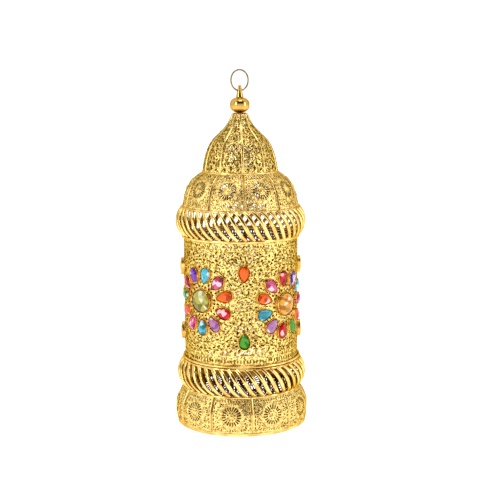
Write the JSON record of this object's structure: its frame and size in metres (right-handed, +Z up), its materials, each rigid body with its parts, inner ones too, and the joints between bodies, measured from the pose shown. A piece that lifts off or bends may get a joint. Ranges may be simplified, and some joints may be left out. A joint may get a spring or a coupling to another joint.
{
  "type": "candle lantern",
  "caption": "Pierced metal candle lantern with stone flowers on a lift-off cover, slanted-rod cage bands, gored domes, a turned finial and a hanging ring.",
  "frame": {"origin": "centre of the underside, on the surface that it stands on", "axes": "+Z up along the lantern's axis, -Y towards the front drops, +X to the viewer's right"},
  "size_m": [0.121, 0.122, 0.3243],
  "materials": {
    "pierced_sheet": "pierced filigree sheet, gold plated, satin",
    "plain_sheet": "plain gold plated sheet, satin",
    "band_wire": "gold plated wire, bright",
    "turned_gold": "turned and polished, gold plated",
    "ring_wire": "drawn wire, slightly dull",
    "setting_metal": "thin bezel strip, bright",
    "hardware": "plain turned hardware",
    "stone_purple": "faceted flat-back acrylic stone",
    "stone_turquoise": "faceted flat-back acrylic stone",
    "stone_pink": "faceted flat-back acrylic stone",
    "stone_orange": "faceted flat-back acrylic stone",
    "stone_red": "faceted flat-back acrylic stone",
    "stone_lilac": "faceted flat-back acrylic stone",
    "stone_magenta": "faceted flat-back acrylic stone",
    "stone_coral": "faceted flat-back acrylic stone",
    "stone_green": "faceted flat-back acrylic stone",
    "centre_stone_olive": "round faceted flat-back acrylic stone",
    "centre_stone_amber": "round faceted flat-back acrylic stone"
  },
  "bodies": {
    "base": {"base_gore_01": "pierced_sheet", "base_gore_02": "pierced_sheet", "base_gore_03": "pierced_sheet", "base_gore_04": "pierced_sheet", "base_gore_05": "pierced_sheet", "base_gore_06": "pierced_sheet", "base_gore_07": "pierced_sheet", "base_gore_08": "pierced_sheet", "base_gore_09": "pierced_sheet", "base_gore_10": "pierced_sheet", "base_seams": "plain_sheet", "lower_band_top_ring": "band_wire", "lower_band_rods": "band_wire", "lower_band_bottom_ring": "band_wire", "base_hem_ring": "plain_sheet", "bottom_plate": "plain_sheet", "candle_cup": "plain_sheet", "cup_rivets": "hardware"},
    "cover": {"finial_spike": "turned_gold", "finial_ball": "turned_gold", "finial_collar": "turned_gold", "finial_washer": "hardware", "finial_nut": "hardware", "upper_dome_gores": "pierced_sheet", "lower_dome_gore_01": "pierced_sheet", "lower_dome_gore_02": "pierced_sheet", "lower_dome_gore_03": "pierced_sheet", "lower_dome_gore_04": "pierced_sheet", "lower_dome_gore_05": "pierced_sheet", "lower_dome_gore_06": "pierced_sheet", "lower_dome_gore_07": "pierced_sheet", "lower_dome_gore_08": "pierced_sheet", "lower_dome_gore_09": "pierced_sheet", "lower_dome_gore_10": "pierced_sheet", "body_sheet": "pierced_sheet", "upper_dome_ribs": "plain_sheet", "upper_dome_hem": "plain_sheet", "lower_dome_seams": "plain_sheet", "locating_skirt": "plain_sheet", "upper_band_top_ring": "band_wire", "upper_band_rods": "band_wire", "upper_band_bottom_ring": "band_wire", "body_hem_ring": "band_wire", "petal_settings": "setting_metal", "centre_settings": "setting_metal", "drop_settings": "setting_metal", "stones_purple": "stone_purple", "stones_turquoise": "stone_turquoise", "stones_pink": "stone_pink", "stones_orange": "stone_orange", "stones_red": "stone_red", "stones_lilac": "stone_lilac", "stones_magenta": "stone_magenta", "stones_coral": "stone_coral", "stones_green": "stone_green", "centre_stones_olive": "centre_stone_olive", "centre_stones_amber": "centre_stone_amber"},
    "ring": {"hang_ring": "ring_wire"}
  },
  "joints": [
    {"name": "cover_lift", "type": "slide", "parent": "base", "child": "cover", "axis": [0, 0, 1], "range_m": [0, 0.15]},
    {"name": "ring_swing", "type": "hinge", "parent": "cover", "child": "ring", "pos_m": [0, 0, 0.305], "axis": [0.866, 0.5, 0], "range_deg": [-140, 140]}
  ]
}
